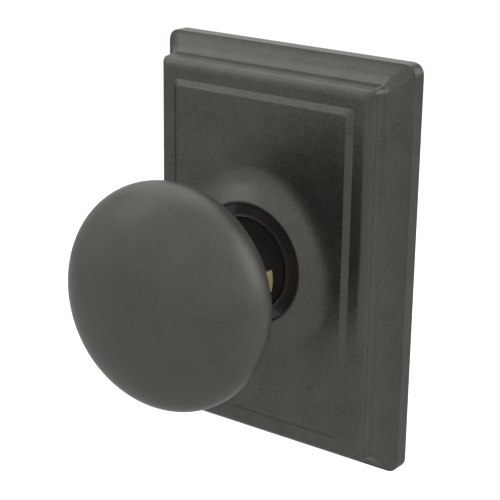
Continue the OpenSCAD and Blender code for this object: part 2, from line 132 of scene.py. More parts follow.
def new_object(name, points, faces, smooth=True, crease=None):
    """A mesh object; crease is the turn in degrees above which its edges look sharp."""
    mesh = bpy.data.meshes.new(name)
    mesh.from_pydata([tuple(p) for p in points], [], faces)
    work = bmesh.new()
    work.from_mesh(mesh)
    bmesh.ops.remove_doubles(work, verts=work.verts, dist=MERGE_REACH)
    bmesh.ops.recalc_face_normals(work, faces=work.faces)
    work.to_mesh(mesh)
    work.free()
    if smooth:
        mesh.polygons.foreach_set("use_smooth", [True] * len(mesh.polygons))
    if crease is not None:
        mesh.set_sharp_from_angle(angle=math.radians(crease))
    made = bpy.data.objects.new(name, mesh)
    scene.collection.objects.link(made)
    return made


def loft(rings, loop=False, caps=False):
    """Points and faces of a skin over closed rings that all have the same number of points."""
    count = len(rings[0])
    points = [p for ring in rings for p in ring]
    faces = []
    last = len(rings) if loop else len(rings) - 1
    for i in range(last):
        a, b = i * count, (i + 1) % len(rings) * count
        for k in range(count):
            n = (k + 1) % count
            faces.append((a + k, a + n, b + n, b + k))
    if caps:
        faces.append(tuple(range(count)))
        faces.append(tuple(range(len(points) - count, len(points))))
    return points, faces


def revolve(name, outline, segments=96, loop=True, crease=SHARP_ANGLE, axis_at=(0, 0)):
    """
    A solid of revolution round a line along Y: outline is (radius, level) pairs in mm. It is closed
    on itself, or with a flat cap at each end. A radius may be a function of the angle.
    """
    rings = []
    for radius, level in outline:
        ring = []
        for k in range(segments):
            a = 2 * math.pi * k / segments
            ring.append(at(*polar(radius(a) if callable(radius) else radius, a, axis_at), level))
        rings.append(ring)
    points, faces = loft(rings, loop=loop, caps=not loop)
    return new_object(name, points, faces, crease=crease)


def prism(name, *layers):
    """A solid through layers of (outline, level), each outline a ring of (x, z) points in mm."""
    points, faces = loft([[at(x, z, level) for x, z in outline] for outline, level in layers], caps=True)
    return new_object(name, points, faces, crease=SHARP_ANGLE)


def box(name, x, z, level):
    """A block between pairs of limits in mm."""
    outline = [(x[0], z[0]), (x[1], z[0]), (x[1], z[1]), (x[0], z[1])]
    return prism(name, (outline, level[0]), (outline, level[1]))


def rod(name, radius, centre, level):
    """A plain cylinder along Y between two levels, as a cutter."""
    return revolve(name, [(radius, level[0]), (radius, level[1])], 64, loop=False, axis_at=centre)


def cut(obj, *cutters):
    """Takes the cutters' shapes out of a piece, and removes them."""
    for cutter in cutters:
        tool = obj.modifiers.new("cut", "BOOLEAN")
        tool.operation = "DIFFERENCE"
        tool.solver = "EXACT"
        tool.object = cutter
        bpy.context.view_layer.update()
        mesh = bpy.data.meshes.new_from_object(obj.evaluated_get(bpy.context.evaluated_depsgraph_get()))
        obj.modifiers.clear()
        obj.data = mesh
        bpy.data.objects.remove(cutter)
    work = bmesh.new()
    work.from_mesh(obj.data)
    bmesh.ops.remove_doubles(work, verts=work.verts, dist=CUT_MERGE_REACH)
    bmesh.ops.dissolve_degenerate(work, edges=work.edges, dist=SHORTEST_EDGE)
    work.to_mesh(obj.data)
    work.free()
    obj.data.polygons.foreach_set("use_smooth", [True] * len(obj.data.polygons))
    obj.data.set_sharp_from_angle(angle=math.radians(SHARP_ANGLE))
    return obj


def soften(obj, width, segments=2):
    """Rounds a piece's sharp edges by a width in mm."""
    edges = obj.modifiers.new("edges", "BEVEL")
    edges.width = width * MM
    edges.segments = segments
    edges.limit_method = "ANGLE"
    edges.angle_limit = math.radians(SHARP_ANGLE)
    edges.harden_normals = True
    return obj


def weigh_normals(obj):
    """Flat faces keep flat shading next to their rounded edges."""
    weighted = obj.modifiers.new("flat faces", "WEIGHTED_NORMAL")
    weighted.mode = "FACE_AREA"
    weighted.weight = 70
    weighted.keep_sharp = True


def set_exact_normals(obj, normal_at):
    """Faces that lie on a round surface take its true normals, and all others are flat."""
    same_way = 0.98
    mesh = obj.data
    normals = []
    for face in mesh.polygons:
        on_surface = face.normal.dot(normal_at(face.center)) > same_way
        for index in face.vertices:
            normals.append(normal_at(mesh.vertices[index].co) if on_surface else face.normal)
    mesh.normals_split_custom_set([tuple(n) for n in normals])


def place(obj, body, material, slot, *replaced):
    """Gives a piece its material and body, and hides the CAD nodes that it stands for; the slot is not used.
    """
    obj.data.materials.clear()
    obj.data.materials.append(material)
    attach(obj, body)
    if replaced:
        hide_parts(*replaced)


# ------------------------------------------------------------------ materials

def node_maker(material):
    """Functions that add a node, with in_NAME for an input's value, and link two sockets."""
    tree = material.node_tree
    tree.nodes.clear()

    def make(kind, **settings):
        made = tree.nodes.new(kind)
        for key, value in settings.items():
            if key.startswith("in_"):
                made.inputs[key[3:].replace("_", " ")].default_value = value
            else:
                setattr(made, key, value)
        return made

    return make, tree.links.new


def metal(name, colour, rough, metallic=1.0, mottle=0.08, mottle_size=8.0, grain=0.12, grain_size=0.35,
          bump=0.15, rough_swing=0.06, streak=None, tint=None, specular=0.5, edge=1.0):
    """
    A surface with mottled colour, uneven roughness and a fine grain. Sizes are in mm, and grain is the
    fine noise's share of the mottling. Streak stretches the grain along an axis. Edge dims the
    reflection at a grazing angle.
    """
    material = bpy.data.materials.new(name)
    material.use_nodes = True
    make, link = node_maker(material)
    surface_place = make("ShaderNodeTexCoord").outputs["Object"]
    grain_place = surface_place
    if streak:
        squeeze = make("ShaderNodeMapping", in_Scale=streak)
        link(surface_place, squeeze.inputs["Vector"])
        grain_place = squeeze.outputs["Vector"]
    broad = make("ShaderNodeTexNoise", in_Scale=1 / (mottle_size * MM), in_Detail=4.0, in_Roughness=0.55)
    fine = make("ShaderNodeTexNoise", in_Scale=1 / (grain_size * MM), in_Detail=3.0, in_Roughness=0.6)
    link(surface_place, broad.inputs["Vector"])
    link(grain_place, fine.inputs["Vector"])
    both = make("ShaderNodeMix", data_type="FLOAT", in_Factor=grain)
    link(broad.outputs["Fac"], both.inputs["A"])
    link(fine.outputs["Fac"], both.inputs["B"])
    ramp = make("ShaderNodeValToRGB")
    darker = [c * (1 - mottle) for c in colour]
    lighter = [min(1, c * (1 + mottle)) for c in (tint or colour)]
    for stop, position, shade in zip(ramp.color_ramp.elements, (0.36, 0.64), (darker, lighter)):
        stop.position = position
        stop.color = (*shade, 1)
    link(both.outputs["Result"], ramp.inputs["Fac"])
    roughness = make("ShaderNodeMapRange", in_From_Min=0.3, in_From_Max=0.7,
                     in_To_Min=rough - rough_swing, in_To_Max=rough + rough_swing)
    link(both.outputs["Result"], roughness.inputs["Value"])
    relief = make("ShaderNodeBump", in_Strength=bump, in_Distance=grain_size * MM / 2)
    link(fine.outputs["Fac"], relief.inputs["Height"])
    surface = make("ShaderNodeBsdfPrincipled", in_Metallic=metallic, in_Specular_IOR_Level=specular,
                   in_Specular_Tint=(edge, edge, edge, 1))
    link(ramp.outputs["Color"], surface.inputs["Base Color"])
    link(roughness.outputs["Result"], surface.inputs["Roughness"])
    link(relief.outputs["Normal"], surface.inputs["Normal"])
    out = make("ShaderNodeOutputMaterial")
    link(surface.outputs["BSDF"], out.inputs["Surface"])
    return material


DARK = metal("satin dark bronze", (0.0562, 0.055, 0.049), 0.31, metallic=0.8, mottle=0.18, grain=0.65,
             grain_size=0.5, bump=0.16, specular=0.1, edge=0.5)
DARK_KNOB = metal("satin dark bronze, knob", (0.0555, 0.0548, 0.0492), 0.4, metallic=0.6, mottle=0.14,
                  grain=0.65, grain_size=0.45, bump=0.12, specular=0.1, edge=0.5)
# The neck is the same bronze made darker: painted shade between the knob head and the rosette
NECK_PAINTED_SHADE = metal("satin dark bronze, neck, darkened for painted shade", (0.036, 0.034, 0.031), 0.3, metallic=0.8, mottle=0.06,
                  bump=0.05, specular=0.1, edge=0.4)
BLACK = metal("gloss black collar", (0.018, 0.0153, 0.0143), 0.16, metallic=0.0, mottle=0.2, bump=0.02,
              rough_swing=0.03, specular=0.32, edge=0.8)
STEEL = metal("zinc-plated sheet", (0.56, 0.56, 0.54), 0.36, mottle=0.1, mottle_size=14,
              tint=(0.62, 0.6, 0.55))
POST = metal("zinc-plated posts", (0.54, 0.53, 0.5), 0.32, mottle=0.08, streak=(1, 12, 1))
SCREW = metal("plated screws", (0.5, 0.5, 0.5), 0.3, mottle=0.1)
BAR = metal("drawn bar", (0.36, 0.36, 0.37), 0.34, mottle=0.12, streak=(8, 0.3, 8))
SPRING = metal("spring steel", (0.2, 0.2, 0.21), 0.38, mottle=0.12)
ZINC = metal("zinc casting", (0.42, 0.43, 0.44), 0.5, mottle=0.1, mottle_size=5, bump=0.3)
BRASS = metal("turned brass", (0.88, 0.65, 0.29), 0.22, mottle=0.08, streak=(1, 10, 1),
              tint=(0.92, 0.72, 0.38))
# The catch's brass is lighter than the turned brass: a painted glint on the catch
BRASS_PAINTED_GLINT = metal("brass catch, lightened for a painted glint", (0.98, 0.8, 0.46), 0.34, mottle=0.04, bump=0.02)
BRONZE = metal("bearing bronze", (0.45, 0.3, 0.15), 0.45, mottle=0.14)
NYLON = metal("nylon", (0.78, 0.77, 0.72), 0.5, metallic=0.0, mottle=0.04)

# CAD nodes that are shown as they are; every other node has a piece below that stands for it
FINISH = {
    "spring_cage": ZINC, "cage_cover": STEEL, "cage_screws": SCREW, "return_spring": SPRING,
    "stop_pins": SCREW, "thrust_washer": NYLON, "knob_joint_ring": ZINC, "shank_plate": STEEL,
    "spindle_pin": SCREW, "drive_hub": ZINC, "catch_spring_seat": STEEL,
}
for name, finish in FINISH.items():
    nodes[name].data.materials.clear()
    nodes[name].data.materials.append(finish)


# ------------------------------------------------------------------ rosette

# Insets go in from the outline, levels go out from the door, and corners are radii, all in mm;
# turns, slopes and starts are in degrees
HALF_W, HALF_H, BOSS_LEVEL = cad_size("rosette")
NECK_R = 12.2
OUTER_CORNER, EDGE_ROUNDING = 3.0, 0.05
FLANGE, REAR_RIM_MIDDLE = 4.2, 1.5
COVE_INSET, COVE_W, COVE_H, COVE_TURN = 0.25, 4.45, 4.8, 46
RISER_INSET, RISER_FOOT_CORNER, RISER_TOP_CORNER = 5.25, 2.0, 1.0
GROOVE_LEVEL, GROOVE_HALF_W, GROOVE_DEPTH = 12.4, 0.3, 0.04
SHOULDER_R, SHOULDER_START, SHOULDER_CORNER_LOSS = 2.5, 11, 0.2
BAND_LEVEL, BAND_END, BAND_CORNER = 14.75, 10.3, 0.9
FIELD_LEVEL, FIELD_INSET, FIELD_BACK = 15.8, 11.9, 13.6
BOSS_FOOT_R, BOSS_FLANK_R, BOSS_SLOPE = 25.5, 19.5, 37
OPENING_R = 15.9

# Every ring has the same count of points: corner points at set angles, and points along each side
CORNER_INSET = 14.0
HALF_CORNER = (0, 10, 20, 26, 30, 33, 36, 38, 40, 42, 43.5)
CORNER_ANGLES = HALF_CORNER + (45,) + tuple(90 - angle for angle in reversed(HALF_CORNER))
NEARLY_ZERO = 1e-9


def corner_reach(angle, half, radius):
    """Distance from a corner's centre to the edge of a square with a rounded corner."""
    c, s = math.cos(math.radians(angle)), math.sin(math.radians(angle))
    straight = half - radius
    if c > NEARLY_ZERO and half * s / c <= straight:
        return half / c
    if s > NEARLY_ZERO and half * c / s <= straight:
        return half / s
    b = straight * (c + s)
    return b + math.sqrt(max(b * b - 2 * straight ** 2 + radius ** 2, 0))


def side_shares(half_run, half_across, steps):
    """Places along a side that look evenly spread from the middle of the rosette, from 1 to -1."""
    widest = math.atan2(half_run, half_across)
    return [math.tan(widest * (1 - 2 * i / steps)) / math.tan(widest) for i in range(1, steps)]


RUN_X, RUN_Z = HALF_W - CORNER_INSET, HALF_H - CORNER_INSET
TOP_SHARES = side_shares(RUN_X, HALF_H - FIELD_INSET, 16)
SIDE_SHARES = side_shares(RUN_Z, HALF_W - FIELD_INSET, 32)


def outline_ring(inset, level, corner):
    """The rosette's outline at an inset, with rounded corners, as one ring of points."""
    half_w, half_h = HALF_W - inset, HALF_H - inset
    turn = [polar(corner_reach(angle, CORNER_INSET - inset, corner), math.radians(angle), (RUN_X, RUN_Z))
            for angle in CORNER_ANGLES]
    ring = turn + [(RUN_X * t, half_h) for t in TOP_SHARES]
    ring += [(-x, z) for x, z in reversed(turn)] + [(-half_w, RUN_Z * t) for t in SIDE_SHARES]
    ring += [(-x, -z) for x, z in turn] + [(-RUN_X * t, -half_h) for t in TOP_SHARES]
    ring += [(x, -z) for x, z in reversed(turn)] + [(half_w, -RUN_Z * t) for t in SIDE_SHARES]
    return [at(x, z, level) for x, z in ring]


def outline_rings(path, corner):
    """Rings along a path of (inset, level, edge radius) points."""
    return [outline_ring(inset, level, corner) for inset, level in rounded_path(path)]


DIRECTIONS = [math.atan2(p.z, p.x) for p in outline_ring(FIELD_INSET, FIELD_LEVEL, 0.6)]


def round_ring(radius, level):
    """A circle whose points lie in the same directions as an outline's."""
    return [at(*polar(radius, a), level) for a in DIRECTIONS]


def flange_rings():
    """From inside the rear rim to the foot of the cove."""
    return outline_rings([(REAR_RIM_MIDDLE, 0, 0), (0, 0, 0.25), (0, FLANGE, 0.2), (COVE_INSET, FLANGE, 0)],
                         OUTER_CORNER - EDGE_ROUNDING)


def cove_rings():
    """An arc through the cove's two edges, with its centre outside the outline."""
    half_turn = math.radians(COVE_TURN / 2)
    chord = math.hypot(COVE_W, COVE_H)
    lean = math.atan2(COVE_H, COVE_W)
    cove_r = chord / 2 / math.sin(half_turn)
    rise = cove_r * math.cos(half_turn) / chord
    centre_inset = COVE_INSET + COVE_W / 2 - rise * COVE_H
    centre_level = FLANGE + COVE_H / 2 + rise * COVE_W
    corner_change = OUTER_CORNER - EDGE_ROUNDING - RISER_FOOT_CORNER
    steps = 14
    rings = []
    for i in range(steps + 1):
        a = lean + half_turn * (2 * i / steps - 1)
        rings.append(outline_ring(centre_inset + cove_r * math.sin(a), centre_level - cove_r * math.cos(a),
                                  RISER_FOOT_CORNER + corner_change * (1 - i / steps) ** 1.5))
    return rings


def riser_rings():
    """The riser with its draft, and the faint groove along its top."""
    foot_inset, foot_level = COVE_INSET + COVE_W, FLANGE + COVE_H
    rings = []
    for share in (0.1, 0.35, 0.6, 0.85):
        rings.append(outline_ring(foot_inset + (RISER_INSET - foot_inset) * share,
                                  foot_level + (GROOVE_LEVEL - foot_level) * share,
                                  RISER_FOOT_CORNER + (RISER_TOP_CORNER - RISER_FOOT_CORNER) * share))
    steps = 6
    for i in range(steps + 1):
        dip = GROOVE_DEPTH / 2 * (1 - math.cos(2 * math.pi * i / steps))
        rings.append(outline_ring(RISER_INSET + dip, GROOVE_LEVEL + GROOVE_HALF_W * (2 * i / steps - 1),
                                  RISER_TOP_CORNER))
    return rings


def shoulder_rings():
    """The rounded shoulder, the flat band and the step up to the field."""
    steps = 10
    rings = []
    for i in range(1, steps + 1):
        a = math.radians(SHOULDER_START + (90 - SHOULDER_START) * i / steps)
        rings.append(outline_ring(RISER_INSET + SHOULDER_R * (1 - math.cos(a)),
                                  BAND_LEVEL - SHOULDER_R * (1 - math.sin(a)),
                                  RISER_TOP_CORNER - SHOULDER_CORNER_LOSS * i / steps))
    return rings + outline_rings(
        [(RISER_INSET + SHOULDER_R + 0.15, BAND_LEVEL, 0), (BAND_END, BAND_LEVEL, 0.3),
         (FIELD_INSET, FIELD_LEVEL, 0.35), (FIELD_INSET + 0.6, FIELD_LEVEL, 0)], BAND_CORNER)


def boss_rings():
    """The swelling: a fillet up from the field, a sloping flank and the rim of the opening."""
    slope = math.radians(BOSS_SLOPE)
    fillet_r = (BOSS_FOOT_R - BOSS_FLANK_R) / math.sin(slope)
    steps = 12
    rings = []
    for i in range(steps + 1):
        a = math.radians(BOSS_SLOPE * i / steps)
        rings.append(round_ring(BOSS_FOOT_R - fillet_r * math.sin(a),
                                FIELD_LEVEL + fillet_r * (1 - math.cos(a))))
    fillet_end = FIELD_LEVEL + fillet_r * (1 - math.cos(slope))
    rim_r = BOSS_FLANK_R - (BOSS_LEVEL - fillet_end) / math.tan(slope)
    rim = rounded_path([(BOSS_FLANK_R - 0.1, fillet_end + 0.075, 0), (rim_r + 0.05, BOSS_LEVEL - 0.02, 0.7),
                        (OPENING_R, BOSS_LEVEL - 0.1, 0.1), (OPENING_R, 17, 0)], 5)
    return rings + [round_ring(radius, level) for radius, level in rim[1:]]


def hollow_rings():
    """The hollow back, in steps from the opening out to the rear rim."""
    first, field_wall, moulding_wall, rim_wall = 12.0, 9.4, 7.4, 3.0
    moulding_back, ledge, corner = 12.0, 4.0, 1.5
    return [round_ring(OPENING_R, FIELD_BACK)] + outline_rings(
        [(first, FIELD_BACK, 0), (field_wall, FIELD_BACK, 0.4), (field_wall, moulding_back, 0.3),
         (moulding_wall, moulding_back, 0.4), (moulding_wall, ledge, 0.3), (rim_wall, ledge, 0.4),
         (rim_wall, 0, 0.25), (REAR_RIM_MIDDLE, 0, 0)], corner)


skin = flange_rings() + cove_rings() + riser_rings() + shoulder_rings() + boss_rings() + hollow_rings()
rosette = new_object("rosette_casting", *loft(skin, loop=True), crease=50)
weigh_normals(rosette)
place(rosette, "plate", DARK, "dark_finish", "rosette")

PLATE_BACK, PLATE_FRONT = 0.4, 2.2
SCREW_X, SCREW_Z = 24, 40
BOSS_HOLE_R, SCREW_BOSS_R, SCREW_BOSS_TOP = 1.25, 3.6, 13.7
BOSS_PLACES = ((SCREW_X, SCREW_Z), (-SCREW_X, SCREW_Z), (-SCREW_X, -SCREW_Z), (SCREW_X, -SCREW_Z))
for number, spot in enumerate(BOSS_PLACES, 1):
    boss = revolve(f"rosette_screw_boss_{number}", [
        (BOSS_HOLE_R, PLATE_FRONT), (SCREW_BOSS_R - 0.2, PLATE_FRONT), (SCREW_BOSS_R, PLATE_FRONT + 0.2),
        (SCREW_BOSS_R, SCREW_BOSS_TOP), (BOSS_HOLE_R, SCREW_BOSS_TOP)], 32, axis_at=spot)
    place(boss, "plate", DARK, "dark_finish")


def collar():
    """Flanged ring in the opening, with a raised bead round the neck."""
    back, middle_r, flange_r = 12.6, 15, 18.5
    outer, bead = OPENING_R - 0.01, NECK_R + 0.06
    face = BOSS_LEVEL - 0.75
    outline = rounded_path([
        (middle_r, back, 0), (flange_r, back, 0.2), (flange_r, FIELD_BACK, 0.1), (outer, FIELD_BACK, 0.05),
        (outer, face, 0.2), (bead + 0.6, face, 0.12), (bead + 0.4, BOSS_LEVEL - 0.05, 0.1),
        (bead + 0.15, BOSS_LEVEL - 0.05, 0.1), (bead, BOSS_LEVEL - 0.4, 0.1), (bead, back, 0.1),
        (middle_r, back, 0)])
    return revolve("collar", outline[:-1], 128)


place(collar(), "plate", BLACK, "gloss_black", "rosette_bushing")


# ------------------------------------------------------------------ knob head and neck

HEAD_R = cad_size("knob_front")[0]
front_lo, front_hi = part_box("knob_front")
HEAD_MIDDLE = -front_hi.y / MM
HEAD_HALF_DEPTH = -front_lo.y / MM - HEAD_MIDDLE
WALL = 1.3
FLARE_END_R = 14.6


def shell(name, start, end, node):
    """Half of the head: an outer and an inner ellipse of revolution, with exact normals outside."""
    steps = 40
    outer, inner = [], []
    for i in range(steps + 1):
        t = math.radians(start + (end - start) * i / steps)
        outer.append((HEAD_R * math.cos(t), HEAD_MIDDLE + HEAD_HALF_DEPTH * math.sin(t)))
        inner.append(((HEAD_R - WALL) * math.cos(t), HEAD_MIDDLE + (HEAD_HALF_DEPTH - WALL) * math.sin(t)))
    made = revolve(name, outer + inner[::-1], 128, crease=None)
    between_walls = 0.97
    normals = []
    for vertex in made.data.vertices:
        x, level, z = vertex.co.x / MM, -vertex.co.y / MM - HEAD_MIDDLE, vertex.co.z / MM
        n = Vector((x / HEAD_R ** 2, -level / HEAD_HALF_DEPTH ** 2, z / HEAD_R ** 2)).normalized()
        reach = (x * x + z * z) / HEAD_R ** 2 + level ** 2 / HEAD_HALF_DEPTH ** 2
        normals.append(tuple(-n if reach < between_walls else n))
    made.data.normals_split_custom_set_from_vertices(normals)
    place(made, "knob", DARK_KNOB, "knob_finish", node)


hole_angle = math.degrees(math.acos(FLARE_END_R / HEAD_R))
shell("knob_head_front", 90, 0, "knob_front")
shell("knob_head_rear", 0, -hole_angle, "knob_rear")

CATCH_LEVEL = 29
CATCH_W, CATCH_H = 5.6, 5.8
CATCH_FACE_R, CATCH_BASE_R, CATCH_FOOT_R = NECK_R + 0.95, 8.3, 7.2
CATCH_FOOT_LIP = 0.8
SLEEVE_R = 11
NECK_BACK, NECK_FRONT = 12.3, 39.9


def window(name, clearance):
    """Cutter for the catch's window."""
    half_w, half_h, beyond = CATCH_W / 2 + clearance, CATCH_H / 2 + clearance, 20
    return box(name, (0, beyond), (-half_h, half_h), (CATCH_LEVEL - half_w, CATCH_LEVEL + half_w))


def neck():
    """Tube whose flare touches the rear shell without a corner, with the catch's window."""
    ratio = FLARE_END_R / HEAD_R
    edge = HEAD_MIDDLE - HEAD_HALF_DEPTH * math.sqrt(1 - ratio ** 2)
    slope = math.atan(HEAD_HALF_DEPTH / HEAD_R * ratio / math.sqrt(1 - ratio ** 2))
    sweep = math.pi / 2 - slope
    r = (FLARE_END_R - NECK_R) / (1 - math.cos(sweep))
    level = edge - r * math.sin(sweep)
    flare = arc((NECK_R + r, level), r, 180, 180 - math.degrees(sweep), 18)
    inner, bevel, middle = SLEEVE_R + 0.05, 0.4, 20
    outline = [(inner, NECK_BACK), (NECK_R - bevel, NECK_BACK), (NECK_R, NECK_BACK + bevel), (NECK_R, middle)]
    outline += flare + [(FLARE_END_R, NECK_FRONT), (inner, NECK_FRONT)]
    made = cut(revolve("neck", outline, 144), window("neck_window", 0.2))

    def normal_at(co):
        out = Vector((co.x, 0, co.z)).normalized()
        rise = math.asin(min(1, max(0, (-co.y / MM - level) / r)))
        return out * math.cos(rise) + Vector((0, math.sin(rise), 0))

    set_exact_normals(made, normal_at)
    return made


place(neck(), "knob", NECK_PAINTED_SHADE, "knob_finish", "knob_shank")


# ------------------------------------------------------------------ catch and its spring

def catch_button():
    """Block that follows the neck's surface, lofted across its height."""
    steps = 16
    low, high = CATCH_LEVEL - CATCH_W / 2, CATCH_LEVEL + CATCH_W / 2
    rings = []
    for i in range(steps + 1):
        z = CATCH_H / 2 * (2 * i / steps - 1)
        face = math.sqrt(CATCH_FACE_R ** 2 - z * z)
        section = ((CATCH_BASE_R, low), (face, low), (face, high), (CATCH_BASE_R, high))
        rings.append([at(x, z, level) for x, level in section])
    return new_object("catch_button", *loft(rings, caps=True), crease=SHARP_ANGLE)


def catch_foot():
    """Flat foot inside the sleeve, wider than the window, which keeps the button in."""
    half_w, half_h = CATCH_W / 2 + CATCH_FOOT_LIP, CATCH_H / 2 + CATCH_FOOT_LIP
    return box("catch_foot", (CATCH_FOOT_R, CATCH_BASE_R), (-half_h, half_h),
               (CATCH_LEVEL - half_w, CATCH_LEVEL + half_w))


def coil_spring():
    """Compression spring along X between its seat and the catch."""
    lo, hi = (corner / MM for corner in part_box("catch_spring"))
    turns, steps, sides, wire_r = 7, 32, 12, 0.3
    coil_r = (hi.z - lo.z) / 2 - wire_r
    start, end = lo.x + wire_r, hi.x - wire_r - 0.02
    tilt = math.atan2((end - start) / turns, 2 * math.pi * coil_r)
    rings = []
    for i in range(turns * steps + 1):
        a = 2 * math.pi * i / steps
        radial = Vector((0, -math.cos(a), math.sin(a)))
        tangent = Vector((0, math.sin(a), math.cos(a)))
        across = Vector((1, 0, 0)) * math.cos(tilt) - tangent * math.sin(tilt)
        middle = at(start + (end - start) * i / (turns * steps), 0, CATCH_LEVEL) + radial * coil_r * MM
        ring = []
        for k in range(sides):
            b = 2 * math.pi * k / sides
            ring.append(middle + (radial * math.cos(b) + across * math.sin(b)) * wire_r * MM)
        rings.append(ring)
    made = new_object("catch_coil_spring", *loft(rings, caps=True), crease=50)
    place(made, "knob", SPRING, "spring_steel", "catch_spring")
    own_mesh(made)


place(soften(catch_button(), 0.6, 4), "catch", BRASS_PAINTED_GLINT, "brass", "knob_catch")
place(soften(catch_foot(), 0.2), "catch", BRASS, "brass")
coil_spring()


# ------------------------------------------------------------------ sleeve, spindle and snap ring

def sleeve():
    """Turned core of the neck: a ring groove and flats at its rear, a hub, and a flange at the neck."""
    tail_r, groove_r, hub_r, flange_r = 8, 7.1, 8.6, 14.1
    rear, groove_back, groove_front, tail_end, flange_back, front = -1.5, -0.8, 0.3, 3.4, 11.2, 36
    bore_r, bore_back, square_half, beyond = 9.4, 13.5, 4.05, 20
    made = revolve("sleeve", [
        (tail_r - 0.3, rear), (tail_r, rear + 0.3), (tail_r, groove_back), (groove_r, groove_back),
        (groove_r, groove_front), (tail_r, groove_front), (tail_r, tail_end), (hub_r, tail_end),
        (hub_r, flange_back), (flange_r, flange_back), (flange_r, NECK_BACK), (SLEEVE_R, NECK_BACK),
        (SLEEVE_R, front)], loop=False)
    square = rounded_rect(square_half, square_half, 0.15, 3)
    flats = (tail_end - 0.01, 4.92)
    return cut(made, rod("bore", bore_r, (0, 0), (bore_back, front + 4)),
               prism("square_hole", (square, -5), (square, beyond)), window("sleeve_window", 0.1),
               box("left_flat", (-beyond, -tail_r), (-beyond, beyond), flats),
               box("right_flat", (tail_r, beyond), (-beyond, beyond), flats))


def spindle():
    """Square bar with its corners and its ends taken off, and a cross hole for the pin."""
    half, corner, end_share = 4.0, 3.5, 0.86
    rear, rear_bevel, front, front_bevel = -58, 0.9, 16.5, 0.6
    pin_hole_r, pin_level = 1.02, 14.65
    section = [(half, -corner), (half, corner), (corner, half), (-corner, half), (-half, corner),
               (-half, -corner), (-corner, -half), (corner, -half)]
    small = [(x * end_share, z * end_share) for x, z in section]
    bar = prism("spindle", (small, rear), (section, rear + rear_bevel), (section, front - front_bevel),
                (small, front))
    hole = [polar(pin_hole_r, math.radians(30 * k), (0, pin_level)) for k in range(12)]
    ends = [[at(x, z, level) for x, level in hole] for z in (-2 * half, 2 * half)]
    return cut(bar, new_object("pin_hole", *loft(ends, caps=True)))


def snap_ring():
    """Open ring with a holed lug at each side of its gap."""
    inner, outer, middle = 7.1, 9.7, 270
    lug_at, lug_r, lug_turn, lug_reach = 9.1, 1.6, 22, 30
    hole_at, hole_r = 9.3, 0.7
    rear, front = -0.7, 0.2
    gap, steps = 12, 168

    def edge_r(angle):
        far = outer
        for lug in (middle - lug_turn, middle + lug_turn):
            off = math.radians(angle - lug)
            across = lug_at * math.sin(off)
            if abs(across) < lug_r and abs(angle - lug) < lug_reach:
                far = max(far, lug_at * math.cos(off) + math.sqrt(lug_r ** 2 - across ** 2))
        return far

    angles = [middle + gap + (360 - 2 * gap) * i / steps for i in range(steps + 1)]
    ring = [polar(edge_r(angle if angle < 360 else angle - 360), math.radians(angle)) for angle in angles]
    ring += [polar(inner, math.radians(angle)) for angle in reversed(angles[::2])]
    holes = [rod("lug_hole", hole_r, polar(hole_at, math.radians(middle + side * lug_turn)), (-3, 3))
             for side in (-1, 1)]
    return cut(prism("snap_ring", (ring, rear), (ring, front)), *holes)


place(soften(sleeve(), 0.12), "knob", BRASS, "brass", "spindle_sleeve")
place(soften(spindle(), 0.14), "knob", BAR, "spindle_steel", "drive_spindle")
place(soften(snap_ring(), 0.1), "knob", SPRING, "spring_steel", "retaining_ring")


# ------------------------------------------------------------------ mounting plate, posts and screws

POST_X, RIVET_R = 17.5, 3
BEARING_R = 10


def plate():
    """Plate with a hole for the bearing and the posts, two slots, cage holes and countersinks."""
    half_w, half_h, corner, steps = 29, 46, 4, 10
    slot_half_w, slot_half_h, slot_corner, slot_z = 15, 4.5, 4.4, 36
    cage_hole_r, cage_circle_r = 1.33, 24.2
    screw_hole_r, countersink_r = 1.35, 2.85
    through = (-1, 4)
    outline = rounded_rect(half_w, half_h, corner, steps)
    cutters = [rod("bearing_hole", BEARING_R, (0, 0), through)]
    for side in (-1, 1):
        cutters.append(rod("post_hole", RIVET_R, (side * POST_X, 0), through))
        slot = rounded_rect(slot_half_w, slot_half_h, slot_corner, steps, (0, side * slot_z))
        cutters.append(prism("slot", (slot, through[0]), (slot, through[1])))
    for turn in (30, 150, 270):
        cutters.append(rod("cage_hole", cage_hole_r, polar(cage_circle_r, math.radians(turn)), through))
    countersink = [(countersink_r + 0.15, PLATE_BACK - 0.15), (countersink_r, PLATE_BACK),
                   (screw_hole_r, PLATE_FRONT - 0.1), (screw_hole_r, PLATE_FRONT + 1)]
    for x in (-SCREW_X, SCREW_X):
        for z in (-SCREW_Z, SCREW_Z):
            cutters.append(revolve("countersink", countersink, 48, loop=False, axis_at=(x, z)))
    return cut(prism("back_plate", (outline, PLATE_BACK), (outline, PLATE_FRONT)), *cutters)


def bearing():
    """Plain bronze ring in the plate's middle hole."""
    middle_r, inner, front = 9, 8.06, 3.2
    outline = rounded_path([
        (middle_r, PLATE_BACK, 0), (BEARING_R, PLATE_BACK, 0.15), (BEARING_R, front, 0.15),
        (inner, front, 0.2), (inner, PLATE_BACK, 0.25), (middle_r, PLATE_BACK, 0)], 3)
    return revolve("bearing", outline[:-1])


